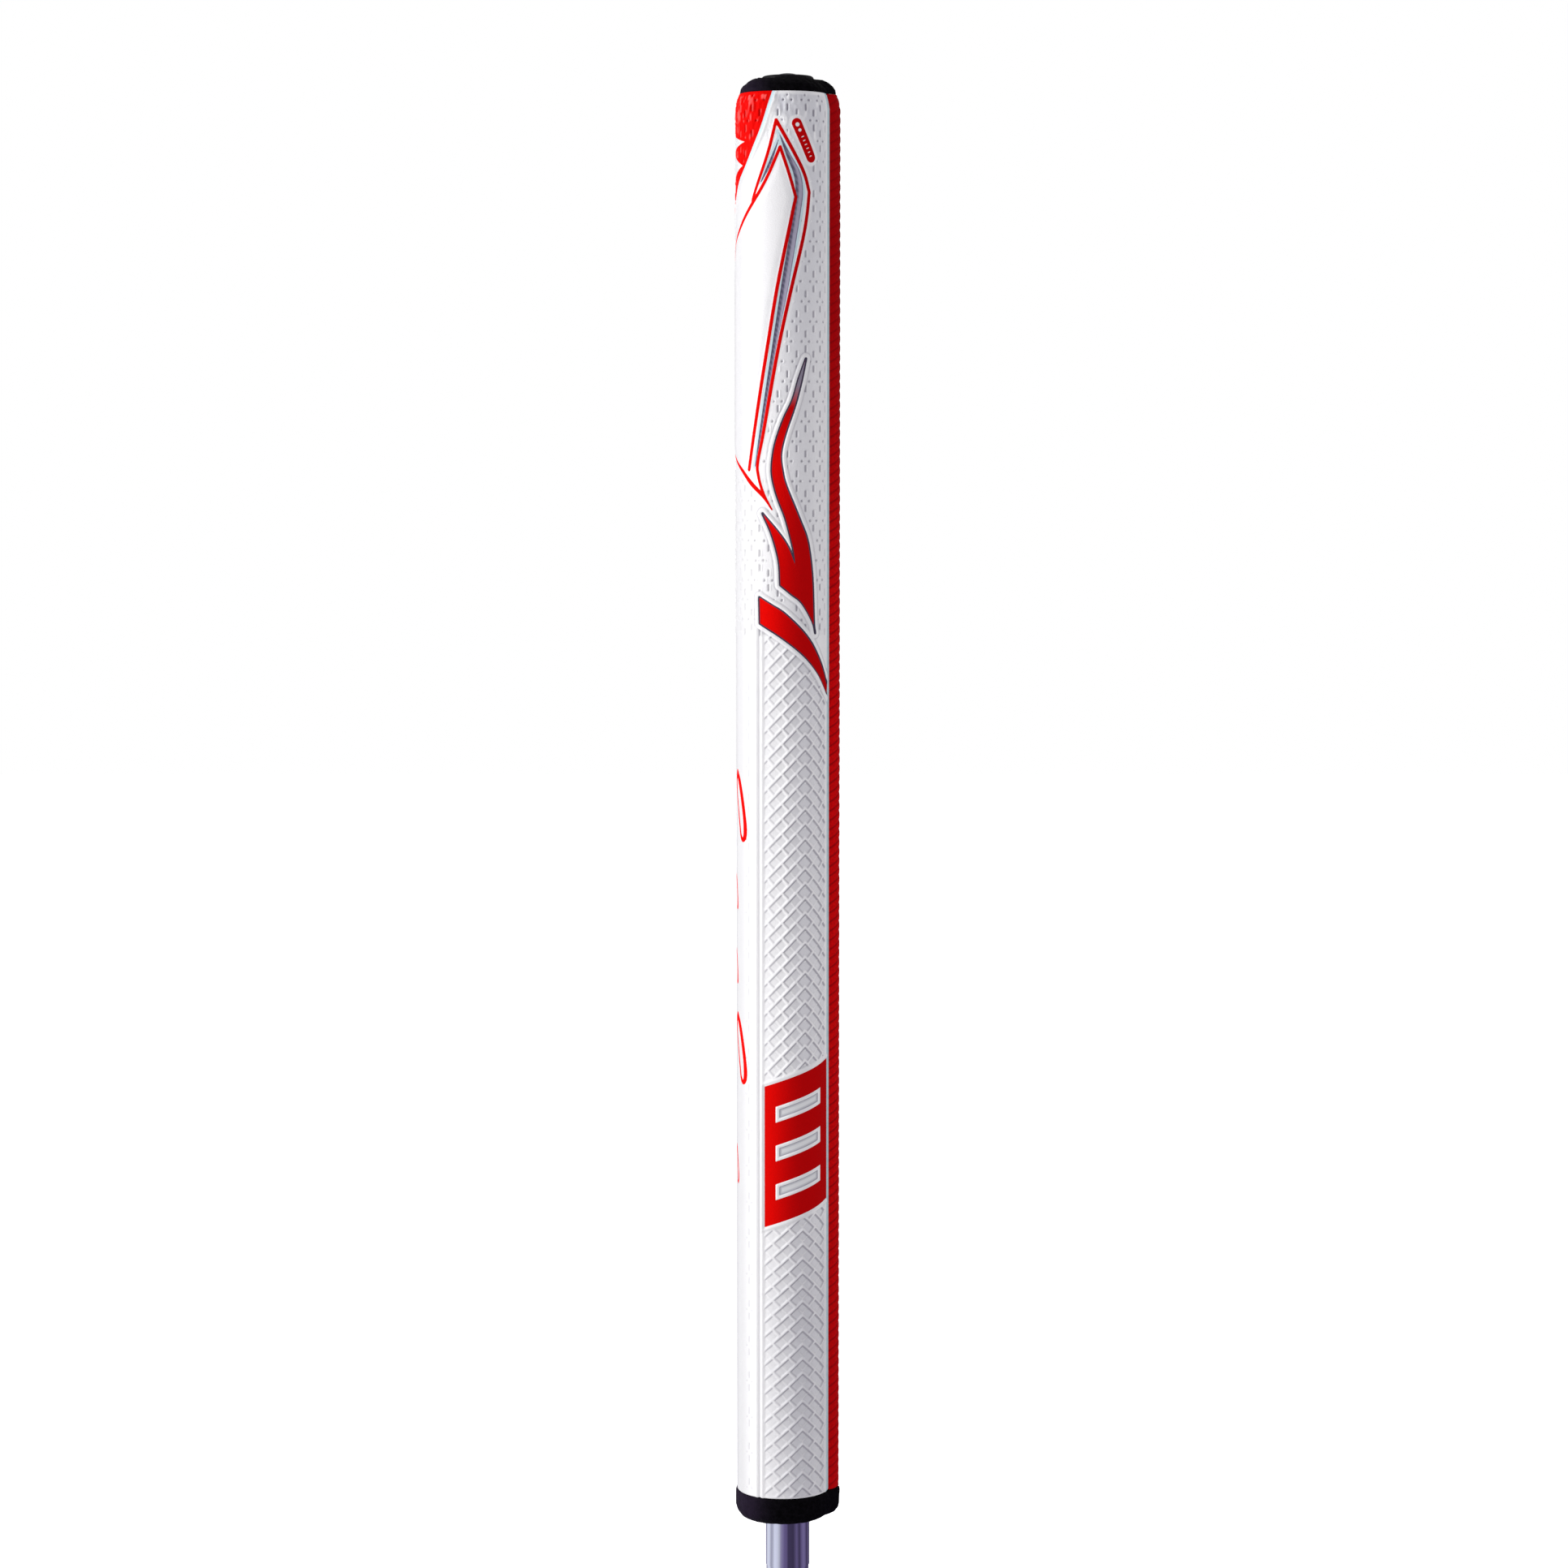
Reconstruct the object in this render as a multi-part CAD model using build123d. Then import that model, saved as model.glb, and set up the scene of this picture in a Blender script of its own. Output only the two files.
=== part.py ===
from build123d import *
import os
from math import cos, exp, pi, radians, sin

# A golf putter grip on the butt end of its steel shaft, in millimetres.
# The origin is on the shaft axis at the grip's mouth. +Z runs along the shaft to the butt,
# -Y is the crowned thumb front, +Y is the back with its raised spine, and X is left to right.

# Driving dimensions
LENGTH = 444.5            # mouth to the top of the butt plug, 17.5 inches
SKIN_LOW = 8.7            # lower edge of the wrapped skin
SKIN_HIGH = 438.0         # upper edge of the wrapped skin
SPIGOT = 3.0              # how far the foam reaches down into the mouth collar
# Radius of the wrap, as cosine terms of the angle from the front
SECTION = (15.33, 1.38, -0.56, -0.07, -0.24, -0.09)
SKIN = 1.2                # polyurethane skin
BACKING = 0.6             # felt behind the skin
GLUE = 0.02               # bond line left between neighbours
SPINE_HALF = 4.9          # half width of the spine at its foot
SPINE_FOOT = 12.4         # distance of the spine's foot from the axis
SPINE_TOP = 15.95         # distance of the spine's crest from the axis
TRIM = 2.0                # width of the edge trim each side of the spine
HUMP = 2.6                # how far the spine stands out of the section under it
HUMP_WIDTH = 0.27         # half its width in radians
OUTLINE_STEP = 6          # degrees between the points of an outline
COLLAR_INSET = 0.3        # the mouth collar is a little smaller than the wrap
COLLAR_ROUND = 3.2

# Shaft: a stepped steel tube, thinner by one step at a time towards the tip
SHAFT_END = -30.0
SHAFT_TOP = 434.4
SHAFT_WALL = 0.45
MOUTH_R = 6.82
STEP_R = 0.19             # 0.015 inch on the diameter
STEP_LOW = -16.0          # first step below the mouth
STEP_HIGH = 30.0          # first step above the mouth
STEP_PITCH = 44.5
STEPS_UP = 4
TAPE = 0.25               # thickness of the grip tape
TAPE_LOW = 1.0            # lower end of the tape above the mouth
TAPE_SHORT = 2.0          # how far it stops below the shaft's top
BUTT_R = MOUTH_R + STEPS_UP * STEP_R

# Butt cap, threaded port and weight plug
CAP_INSET = 0.9
CAP_RIM = 442.3
CAP_ROUND = 3.2
SKIRT_LOW = 424.0
SKIRT_R = 9.3
PORT_R = 8.5              # outside of the threaded sleeve
PORT_TOP = 440.6
RECESS_R = 8.35           # opening around the plug's head
THREAD_PITCH = 1.5
THREAD_TURNS = 3
BOSS_R = 6.6              # core of the plug's thread
BORE_R = 7.3              # root of the sleeve's thread
THREAD_ROOT = 0.1         # how far a ridge is sunk into its wall
THREAD_HEIGHT = 0.55
THREAD_BASE = 0.72        # width of the ridge at its root
THREAD_CREST = 0.4        # and at its crest
THREAD_LOW = 434.9
HEAD_LOW = 441.5
HEAD_R = 7.9
HEAD_EDGE = 443.55
HEAD_ROUND = 0.9
SPANNER_R = 0.9           # radius of a spanner hole
SPANNER_OFF = 5.7         # its distance from the axis
SPANNER_DEPTH = 1.3
RING_R = 0.44             # section radius of the o-ring
RING_CENTRE_R = 7.35
BADGE_R = 4.2
BADGE_SEAT = 0.6
PLUG_LOW = 434.0
STUD_R = 2.4
STUD_LOW = 424.0
STUD_HIGH = 440.0
WEIGHT_R = 6.2
WEIGHT_LENGTH = 50.0
WEIGHT_CHAMFER = 0.8
GROOVE = 0.9              # depth of a damper groove
GROOVE_FROM_FOOT = 6.0    # middle of the lower groove above the weight's foot
GROOVE_FROM_TOP = 14.0    # middle of the upper groove below the weight's top
DAMPER_R = 6.6
DAMPER_WIDTH = 2.6
DAMPER_ROUND = 0.5


def section(inset=0.0, hump=0.0):
    """The wrap's outline on the mouth plane, moved in by inset, with a hump at the back for the spine."""
    points = []
    for degrees in range(0, 360, OUTLINE_STEP):
        angle = radians(degrees)
        radius = sum(wave * cos(k * angle) for k, wave in enumerate(SECTION)) - inset
        radius += hump * exp(-((angle - pi) / HUMP_WIDTH) ** 2)
        points.append((radius * sin(angle), -radius * cos(angle)))
    return make_face(Spline(*points, periodic=True))


def prism(face, low, high):
    """A face on the mouth plane, drawn along the axis from low to high."""
    return extrude(Pos(0, 0, low) * face, amount=high - low)


def rod(radius, low, high):
    return prism(Circle(radius), low, high)


def tube(outer, inner, low, high):
    return rod(outer, low, high) - rod(inner, low - 1, high + 1)


def spine(inset=0.0):
    """The arched section of the spine, closed at its foot."""
    half, top = SPINE_HALF - inset, SPINE_TOP - inset
    arch = ThreePointArc((-half, SPINE_FOOT), (0, top), (half, SPINE_FOOT))
    sides = Polyline((half, SPINE_FOOT), (half, SPINE_FOOT - 4), (-half, SPINE_FOOT - 4), (-half, SPINE_FOOT))
    return make_face(Curve() + [arch, sides])


def back_band(half):
    """A band at the back of the section, half wide each side of the middle."""
    return Pos(0, 12) * Rectangle(2 * half, 24)


def rounded_end(inset, radius, edge, into):
    """The last stretch of a rubber end piece, whose wall rounds over in a quarter circle to edge."""
    slices = []
    for degrees in (0, 25, 50, 70, 90):
        angle = radians(degrees)
        height = edge + into * radius * (1 - sin(angle))
        slices.append(Pos(0, 0, height) * section(inset + radius * (1 - cos(angle)), HUMP))
    return loft(slices)


def stepped_rod(grow, low, high):
    """The shaft's stepped outside, made bigger by grow."""
    shape = rod(MOUTH_R + grow, low, high)
    for step in range(STEPS_UP):
        start = STEP_HIGH + step * STEP_PITCH
        shape += rod(MOUTH_R + (step + 1) * STEP_R + grow, start, high)
    return shape


def helix_ridge(root_r, reach, low, turns):
    """A thread ridge that stands reach out of root_r, inwards if reach is negative."""
    path = Helix(THREAD_PITCH, turns * THREAD_PITCH, root_r, center=(0, 0, low))
    root = -THREAD_ROOT if reach > 0 else THREAD_ROOT
    crest, base = THREAD_CREST / 2, THREAD_BASE / 2
    profile = Polygon((root, -base), (root, base), (reach, crest), (reach, -crest), align=None)
    start = Plane(origin=(root_r, 0, low), x_dir=(1, 0, 0), z_dir=(0, -1, 0))
    return sweep(start * profile, path=path, is_frenet=True)


def shaft_butt():
    outside = stepped_rod(0, STEP_LOW, SHAFT_TOP) + rod(MOUTH_R - STEP_R, SHAFT_END, STEP_LOW)
    inside = stepped_rod(-SHAFT_WALL, STEP_LOW, SHAFT_TOP + 1)
    return outside - inside - rod(MOUTH_R - STEP_R - SHAFT_WALL, SHAFT_END - 1, STEP_LOW)


def grip_tape():
    return stepped_rod(TAPE, TAPE_LOW, SHAFT_TOP - TAPE_SHORT) - stepped_rod(GLUE, 0, SHAFT_TOP)


def foam_core():
    """The under-listing: a foam body with a stepped bore, a spine and a seat for the cap's skirt."""
    depth = SKIN + BACKING + 2 * GLUE
    low, high = SKIN_LOW - SPIGOT, SKIN_HIGH - GLUE
    body = prism(section(depth), low, high) + prism(spine(depth), low, high)
    seat = rod(SKIRT_R + GLUE, SKIRT_LOW - GLUE, high + 1)
    return body - stepped_rod(TAPE + GLUE, low - 1, high + 1) - seat


def wrap(outer, thickness, half_gap):
    """A layer of the wrap that goes round the front and sides and stops each side of the spine."""
    ring = section(outer) - section(outer + thickness) - back_band(half_gap)
    return prism(ring, SKIN_LOW, SKIN_HIGH)


def white_skin():
    return wrap(0, SKIN, SPINE_HALF + TRIM + 2 * GLUE)


def skin_backing():
    return wrap(SKIN + GLUE, BACKING, SPINE_HALF + GLUE)


def back_layer(outer, thickness):
    """A layer of the spine, which follows its arch."""
    arch = spine(outer) - spine(outer + thickness) - Pos(0, SPINE_FOOT - 4) * Rectangle(40, 8)
    return prism(arch, SKIN_LOW, SKIN_HIGH)


def seam_trim(side):
    """A narrow strip that covers the joint of the two skins."""
    strip = Pos(side * (SPINE_HALF + GLUE + TRIM / 2), 12) * Rectangle(TRIM, 24)
    return prism((section(0) - section(SKIN)) & strip, SKIN_LOW, SKIN_HIGH)


def mouth_collar():
    """The rubber ring at the mouth, which the foam body sits down into."""
    wall = prism(section(COLLAR_INSET, HUMP), COLLAR_ROUND, SKIN_LOW - GLUE)
    ring = wall + rounded_end(COLLAR_INSET, COLLAR_ROUND, 0, 1)
    depth = SKIN + BACKING + GLUE
    ring = ring - prism(section(depth) + spine(depth), SKIN_LOW - SPIGOT - GLUE, SKIN_LOW)
    return ring - rod(MOUTH_R + TAPE + 2 * GLUE, -1, SKIN_LOW)


def butt_cap():
    """The rubber cap: a domed rim on the end of the wrap and a skirt round the shaft's butt."""
    rim = prism(section(CAP_INSET, HUMP), SKIN_HIGH, CAP_RIM - CAP_ROUND)
    rim = rim + rounded_end(CAP_INSET, CAP_ROUND, CAP_RIM, -1)
    skirt = rod(SKIRT_R, SKIRT_LOW, SKIN_HIGH)
    hollow = rod(BUTT_R + TAPE + 2 * GLUE, SKIRT_LOW - 1, SHAFT_TOP + GLUE)
    seat = rod(PORT_R + GLUE, SHAFT_TOP + GLUE, PORT_TOP + GLUE)
    return rim + skirt - hollow - seat - rod(RECESS_R, PORT_TOP, CAP_RIM + 1)


def port_sleeve():
    """The threaded sleeve that is moulded into the cap."""
    low = SHAFT_TOP + 2 * GLUE
    body = tube(PORT_R, BORE_R, low, PORT_TOP)
    start = THREAD_LOW + THREAD_PITCH / 2
    return body + helix_ridge(BORE_R, -THREAD_HEIGHT, start, THREAD_TURNS)


def port_plug():
    """The screw plug: a head with two spanner holes and a badge seat, and a threaded boss."""
    boss = rod(BOSS_R, PLUG_LOW, HEAD_LOW)
    head = rod(HEAD_R, HEAD_LOW, HEAD_EDGE)
    head = fillet(head.faces().sort_by(Axis.Z)[-1].edges(), HEAD_ROUND)
    plug = boss + head + helix_ridge(BOSS_R, THREAD_HEIGHT, THREAD_LOW, THREAD_TURNS)
    plug = plug - rod(BADGE_R + GLUE, HEAD_EDGE - BADGE_SEAT, HEAD_EDGE + 1)
    plug = plug - rod(STUD_R + GLUE, PLUG_LOW - 1, STUD_HIGH + GLUE)
    for side in (-1, 1):
        plug = plug - Pos(0, side * SPANNER_OFF) * rod(SPANNER_R, HEAD_EDGE - SPANNER_DEPTH, HEAD_EDGE + 1)
    return plug


def plug_badge():
    """The domed disc in the middle of the plug's head."""
    rise = LENGTH - HEAD_EDGE
    ball_r = (BADGE_R**2 + rise**2) / (2 * rise)
    dome = Pos(0, 0, LENGTH - ball_r) * Sphere(ball_r)
    return rod(BADGE_R, HEAD_EDGE - BADGE_SEAT + GLUE, LENGTH) & dome


def o_ring():
    return Pos(0, 0, (PORT_TOP + HEAD_LOW) / 2) * Torus(RING_CENTRE_R, RING_R)


def weight_stud():
    return rod(STUD_R, STUD_LOW, STUD_HIGH)


def weight_grooves():
    """Heights of the two damper grooves."""
    top = PLUG_LOW - GLUE
    return (top - WEIGHT_LENGTH + GROOVE_FROM_FOOT, top - GROOVE_FROM_TOP)


def counterweight():
    top = PLUG_LOW - GLUE
    body = rod(WEIGHT_R, top - WEIGHT_LENGTH, top)
    body = chamfer(body.faces().sort_by(Axis.Z)[0].edges(), WEIGHT_CHAMFER)
    for middle in weight_grooves():
        half = DAMPER_WIDTH / 2 + GLUE
        body = body - tube(WEIGHT_R + 1, WEIGHT_R - GROOVE, middle - half, middle + half)
    return body - rod(STUD_R + GLUE, STUD_LOW - GLUE, top + 1)


def damper_rings():
    """Two rubber rings that stop the weight from rattling in the shaft."""
    half = DAMPER_WIDTH / 2
    rings = [tube(DAMPER_R, WEIGHT_R - GROOVE + GLUE, z - half, z + half) for z in weight_grooves()]
    longest = [ring.edges().group_by(SortBy.LENGTH)[-1] for ring in rings]
    return Compound(children=[fillet(edges, DAMPER_ROUND) for edges in longest])


NODES = {
    "shaft_butt": shaft_butt,
    "grip_tape": grip_tape,
    "foam_core": foam_core,
    "skin_backing": skin_backing,
    "white_skin": white_skin,
    "spine_backing": lambda: back_layer(SKIN + GLUE, BACKING),
    "spine_skin": lambda: back_layer(0, SKIN),
    "seam_trim_left": lambda: seam_trim(-1),
    "seam_trim_right": lambda: seam_trim(1),
    "mouth_collar": mouth_collar,
    "butt_cap": butt_cap,
    "port_sleeve": port_sleeve,
    "port_plug": port_plug,
    "plug_badge": plug_badge,
    "o_ring": o_ring,
    "weight_stud": weight_stud,
    "counterweight": counterweight,
    "damper_rings": damper_rings,
}

os.makedirs("parts", exist_ok=True)
for name, make in NODES.items():
    export_step(make(), f"parts/{name}.step")
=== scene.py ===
import math
from types import SimpleNamespace

import bpy
import numpy as np
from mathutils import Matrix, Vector


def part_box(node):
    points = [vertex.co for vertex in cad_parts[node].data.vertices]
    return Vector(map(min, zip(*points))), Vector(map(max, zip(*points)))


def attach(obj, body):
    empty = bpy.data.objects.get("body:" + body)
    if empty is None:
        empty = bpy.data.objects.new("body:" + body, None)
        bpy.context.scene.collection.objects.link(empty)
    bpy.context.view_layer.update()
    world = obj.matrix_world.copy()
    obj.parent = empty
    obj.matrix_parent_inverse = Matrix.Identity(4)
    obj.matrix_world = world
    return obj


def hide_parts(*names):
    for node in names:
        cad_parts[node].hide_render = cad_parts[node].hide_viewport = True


# The grip's looks. Lengths in the drawing below are millimetres on the unrolled wrap:
# u runs round the wrap from the middle of its front, z runs up the shaft from the mouth.

MM = 0.001

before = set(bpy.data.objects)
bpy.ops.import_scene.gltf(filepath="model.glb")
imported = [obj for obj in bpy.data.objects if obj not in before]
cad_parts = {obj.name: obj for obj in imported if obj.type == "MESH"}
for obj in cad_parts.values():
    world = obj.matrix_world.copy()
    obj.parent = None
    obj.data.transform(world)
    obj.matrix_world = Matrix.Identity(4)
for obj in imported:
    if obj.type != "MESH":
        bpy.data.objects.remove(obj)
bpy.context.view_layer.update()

# ---- the wrap's section

SECTION_TERMS = 6
SKIN = 1.2  # thickness of the wrapped skin
LOW, HIGH = (corner.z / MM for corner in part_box("white_skin"))
SPINE_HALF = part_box("spine_skin")[1].x / MM
TRIM_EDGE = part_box("seam_trim_right")[1].x / MM
SEAM = 0.04  # gap between the skin and the trim


def measured_section():
    """Radius of the wrap's outside, as cosine terms of the angle from the front."""
    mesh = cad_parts["white_skin"].data
    co = np.array([v.co for v in mesh.vertices]) / MM
    angle = np.arctan2(np.abs(co[:, 0]), -co[:, 1])
    radius = np.hypot(co[:, 0], co[:, 1])
    waves = np.cos(angle[:, None] * np.arange(SECTION_TERMS))
    keep = np.ones(len(co), bool)
    for _ in range(3):
        terms = np.linalg.lstsq(waves[keep], radius[keep], rcond=None)[0]
        keep = radius > waves @ terms - 0.05       # leaves out the skin's inside
    return terms


TERMS = measured_section()
ANGLES = np.linspace(0, math.pi, 2001)
ORDERS = np.arange(SECTION_TERMS)
RADII = np.cos(ANGLES[:, None] * ORDERS) @ TERMS
SLOPES = -(np.sin(ANGLES[:, None] * ORDERS) * ORDERS) @ TERMS
OUTLINE = np.stack([RADII * np.sin(ANGLES), -RADII * np.cos(ANGLES)], 1)
ARC = np.concatenate([[0], np.cumsum(np.hypot(*np.diff(OUTLINE, axis=0).T))])


def arc_at(x):
    """Arc length from the front to where the back of the wrap is x from the middle."""
    back = ANGLES > math.pi / 2
    return float(np.interp(-x, -OUTLINE[back, 0], ARC[back]))


def round_wrap(u, lift):
    """Points of the wrap at arc length u either way from the front, lifted off it."""
    angle = np.interp(np.abs(u), ARC, ANGLES)
    radius, slope = np.interp(angle, ANGLES, RADII), np.interp(angle, ANGLES, SLOPES)
    along_x = slope * np.sin(angle) + radius * np.cos(angle)
    along_y = radius * np.sin(angle) - slope * np.cos(angle)
    length = np.hypot(along_x, along_y)
    x = radius * np.sin(angle) + lift * along_y / length
    y = -radius * np.cos(angle) - lift * along_x / length
    return np.where(u < 0, -x, x), y


SKIN_EDGE = arc_at(TRIM_EDGE + SEAM)
TRIM_FAR = arc_at(SPINE_HALF + SEAM)

# ---- drawing on the wrap

FAR = 9.0  # a distance past which a shape's edge no longer counts


def smooth(points, fine=7):
    """A Catmull-Rom curve through the points."""
    p = np.array(points, float)
    p = np.vstack([2 * p[0] - p[1], p, 2 * p[-1] - p[-2]])
    t = (np.arange(fine) / fine)[:, None]
    runs = []
    for a, b, c, d in zip(p, p[1:], p[2:], p[3:]):
        runs.append(0.5 * (2 * b + (c - a) * t + (2 * a - 5 * b + 4 * c - d) * t**2
                           + (3 * b - a - 3 * c + d) * t**3))
    return np.vstack(runs + [p[-2:-1]])


def around(points, margin, u, z):
    """Which places lie in the box round the points, with a margin."""
    low, high = points.min(0) - margin, points.max(0) + margin
    return (u > low[0]) & (u < high[0]) & (z > low[1]) & (z < high[1])


def to_line(points, widths, u, z):
    """Distance from the edge of a stroke whose width changes along it, negative inside."""
    result = np.full(u.shape, FAR)
    near = around(points, FAR, u, z)
    uu, zz = u[near], z[near]
    best = np.full(uu.shape, FAR)
    for k in range(len(points) - 1):
        (u0, z0), (du, dz) = points[k], points[k + 1] - points[k]
        t = np.clip(((uu - u0) * du + (zz - z0) * dz) / max(du * du + dz * dz, 1e-9), 0, 1)
        half = (widths[k] + (widths[k + 1] - widths[k]) * t) / 2
        best = np.minimum(best, np.hypot(uu - u0 - t * du, zz - z0 - t * dz) - half)
    result[near] = best
    return result


def stroke(points, widths, u, z):
    """A curved line through the points, with one width or a width for each point."""
    curve = smooth(points)
    widths = np.broadcast_to(np.array(widths, float), (len(points),))
    along = np.linspace(0, len(points) - 1, len(curve))
    return to_line(curve, np.interp(along, np.arange(len(points)), widths), u, z)


def shape(runs, u, z):
    """Distance from a closed outline made of smooth runs that meet in corners, negative inside."""
    points = np.vstack([smooth(run) for run in runs])
    points = np.vstack([points, points[:1]])
    result = to_line(points, np.zeros(len(points)), u, z)
    near = around(points, 0, u, z)
    uu, zz = u[near], z[near]
    within = np.zeros(uu.shape, bool)
    for (u0, z0), (u1, z1) in zip(points, points[1:]):
        if z0 != z1:
            within ^= ((z0 > zz) != (z1 > zz)) & (uu < (u1 - u0) * (zz - z0) / (z1 - z0) + u0)
    result[near] = np.where(within, -result[near], result[near])
    return result


def ramp(value, start, end):
    t = np.clip((value - start) / (end - start), 0, 1)
    return t * t * (3 - 2 * t)


def ridge(distance, middle, half):
    """A rounded bead whose crest is at a distance from an edge."""
    t = np.clip(np.abs(distance - middle) / half, 0, 1)
    return (1 - t * t) ** 2


# Outlines of the print, each as points (u, z)
TONGUE = [(21.2, 439.5), (17.8, 428.8), (14.7, 421.9), (11.3, 415.9), (7.1, 411.0), (3.2, 405.6),
          (0.0, 398.5)]
OUTER_LEFT = [(22.1, 429.2), (19.4, 419.0), (14.9, 406.9), (14.4, 404.9)]
OUTER_RIGHT = [(22.1, 429.2), (26.9, 420.7), (30.6, 413.6), (32.3, 408.0)]
OUTER_DOWN = [(32.3, 408.0), (31.6, 401.6), (30.2, 394.0), (26.5, 378.7), (22.6, 360.8), (18.3, 337.1),
              (16.3, 327.6), (16.4, 323.7), (18.0, 318.4), (20.8, 313.2)]
INNER_LEFT = [(23.3, 421.3), (19.6, 412.9), (15.6, 406.3), (9.0, 398.0), (3.6, 392.6), (0.0, 387.0)]
INNER_RIGHT = [(23.3, 421.3), (25.9, 413.6), (28.0, 406.4)]
INNER_DOWN = [(28.0, 406.4), (26.6, 400.0), (22.6, 380.6), (19.5, 362.3), (15.6, 339.5), (13.1, 325.2)]
LOWER = [(0.0, 329.6), (4.3, 328.3), (9.9, 324.9), (14.0, 321.0), (18.3, 317.0), (20.8, 313.2)]
STRIPE = [(22.8, 425.8), (25.7, 419.1), (28.4, 413.4), (29.1, 408.3), (28.4, 402.3), (24.8, 380.6),
          (21.3, 360.8), (17.0, 334.6), (15.4, 326.3)]
STRIPE_WIDTHS = (0.1, 1.3, 2.2, 2.4, 2.4, 2.3, 1.3, 1.0, 0.4)
STRIPE_LEFT = [(22.8, 423.4), (20.8, 417.9), (19.3, 414.6), (17.4, 411.0)]
PILL = [(28.3, 428.3), (32.9, 418.3)]
PILL_WIDTH = 3.1
BARS, BARS_START, BARS_STEP = 6, 4.3, 1.25  # short bars along the pill
UPPER_LEFT = [(31.2, 358.4), (29.0, 352.6), (27.0, 346.0), (24.5, 340.7), (22.3, 334.6), (21.2, 329.8),
              (20.8, 324.6), (21.6, 320.0), (23.0, 315.6), (25.0, 310.3), (27.2, 301.7), (28.0, 296.1)]
UPPER_RIGHT = [(34.6, 275.9), (34.1, 279.3), (33.5, 292.8), (31.9, 303.4), (29.2, 310.3), (25.2, 320.0),
               (24.0, 324.6), (23.5, 329.8), (24.8, 335.8), (27.7, 344.3), (29.7, 351.6), (31.2, 358.4)]
PRONG_RIGHT = [(28.1, 295.9), (25.7, 301.9), (22.7, 306.4), (17.9, 312.0)]
PRONG_LEFT = [(17.9, 312.0), (20.7, 305.9), (22.9, 297.9), (23.4, 290.5)]
UPPER_FOOT = [(23.4, 290.5), (26.7, 287.8), (30.0, 285.1), (33.6, 279.3), (34.6, 275.9)]
LOWER_TOP = [(16.8, 286.7), (20.8, 284.3), (24.8, 281.7), (31.1, 275.5), (35.3, 269.7), (39.6, 262.2),
             (42.1, 255.5)]
LOWER_FOOT = [(42.1, 255.5), (38.9, 259.6), (35.3, 264.3), (30.0, 269.8), (23.3, 275.0), (17.0, 278.9)]

# The red lines round the pad, each with its widths
LINES = ((OUTER_LEFT, (1.0, 1.0, 0.9, 0.6)), (OUTER_RIGHT, 1.1),
         (OUTER_DOWN, (1.1, 1.1, 1.1, 1.1, 1.1, 1.1, 1.1, 1.0, 0.9, 0.5)),
         (INNER_LEFT, (1.0, 1.0, 1.1, 1.2, 1.0, 0.8)), (INNER_RIGHT, 1.0), (INNER_DOWN, 1.1),
         (LOWER, (0.7, 1.0, 1.3, 1.4, 1.1, 0.5)))

BLOCK_LOW, BLOCK_HIGH = 93.7, 137.3
BLOCK_LEFT, BLOCK_RIGHT = 18.4, 40.6
BLOCK_RISE = 0.345  # slant of its foot and top
SLOT_HALF = 1.35  # half height of a slot in the block
SLOT_FRAME = 1.1  # white frame round it
SLOTS = (9.8, 21.8, 33.8)  # rise of each above the block's foot
SLOT_INSET = 4.6  # from the block's sides
RING = [(5.2, 20.2), (7.2, 17.8), (9.0, 13.4), (10.5, 7.4), (11.0, 3.2), (10.7, 0.8), (9.6, 0.0), (8.4, 1.4),
        (7.6, 4.6), (6.2, 9.6), (4.6, 14.4), (4.0, 18.2), (5.2, 20.2)]
RING_WIDTHS = [2.3, 2.2, 1.9, 1.7, 1.9, 1.8, 1.4, 1.1, 0.9, 0.9, 1.1, 1.7, 2.3]
DIAMONDS = ((423.2, 11.0, 2.6), (416.2, 10.0, 4.0))  # height, half width and half height of each
RINGS = ((212.6, 1.0), (191.0, 0.5), (168.0, 0.5), (137.8, 1.0), (106.0, 0.55))  # foot and scale of each
BEAD_LINE = 16.6  # fine sunk line beside the front, with a bead on its front side
ZONE_LEFT = 18.2  # where the woven relief starts
PATTERN_LOW = 275.0  # crosses above this height, woven relief below


def mirrored(run):
    """A run that meets the middle of the front, with its other half."""
    other = [(-u, z) for u, z in run[:-1]]
    return run + other[::-1]


# ---- patterns sunk in the wrap

CROSS = {"dash_at": 2.2, "dash_half": 0.75, "dash_width": 0.3, "dot_at": 1.24, "dot_width": 0.36}
CROSS_PITCH = 2.86  # between the columns of crosses
CROSS_PERIOD = 11.95  # between the crosses of a column
CROSS_FIRST = 22.6  # one of the columns
CROSS_ROW = 357.6  # height of a cross in it
FRONT_CROSS = {"dash_at": 2.0, "dash_half": 0.9, "dash_width": 0.26, "dot_at": 1.1, "dot_width": 0.3}
FRONT_COLUMN = 12.7  # a fainter column each side of the thumb front
FRONT_PERIOD = 11.2
FRONT_TOP = 264.0  # its upper end
WEAVE = {"reach": 2.225, "step": 2.275, "first": 19.29, "apex": 31.15}
WEAVE_ROW = 187.74  # height of a crossing of the weave above the block
CHEVRON = {"reach": 2.5, "step": 2.235, "first": 20.85, "apex": 30.4}
CHEVRON_ROW = 48.6  # height of a crossing of the herringbone below the block
PUCKER_WAVES = 12


def nearest(offset, period):
    """What is left of an offset without its whole periods, at most half a period either way."""
    turns = offset / period
    return (turns - np.round(turns)) * period


def sunk_cross(du, dz, dash_at, dash_half, dash_width, dot_at, dot_width):
    """Depth of a cross with an open middle: a dash above and below it and a dot each side."""
    dash = np.hypot(du, np.maximum(np.abs(np.abs(dz) - dash_at) - dash_half, 0)) - dash_width
    dot = np.hypot(np.abs(du) - dot_at, dz) - dot_width
    return 1 - ramp(np.minimum(dash, dot), -0.16, 0.16)


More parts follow.
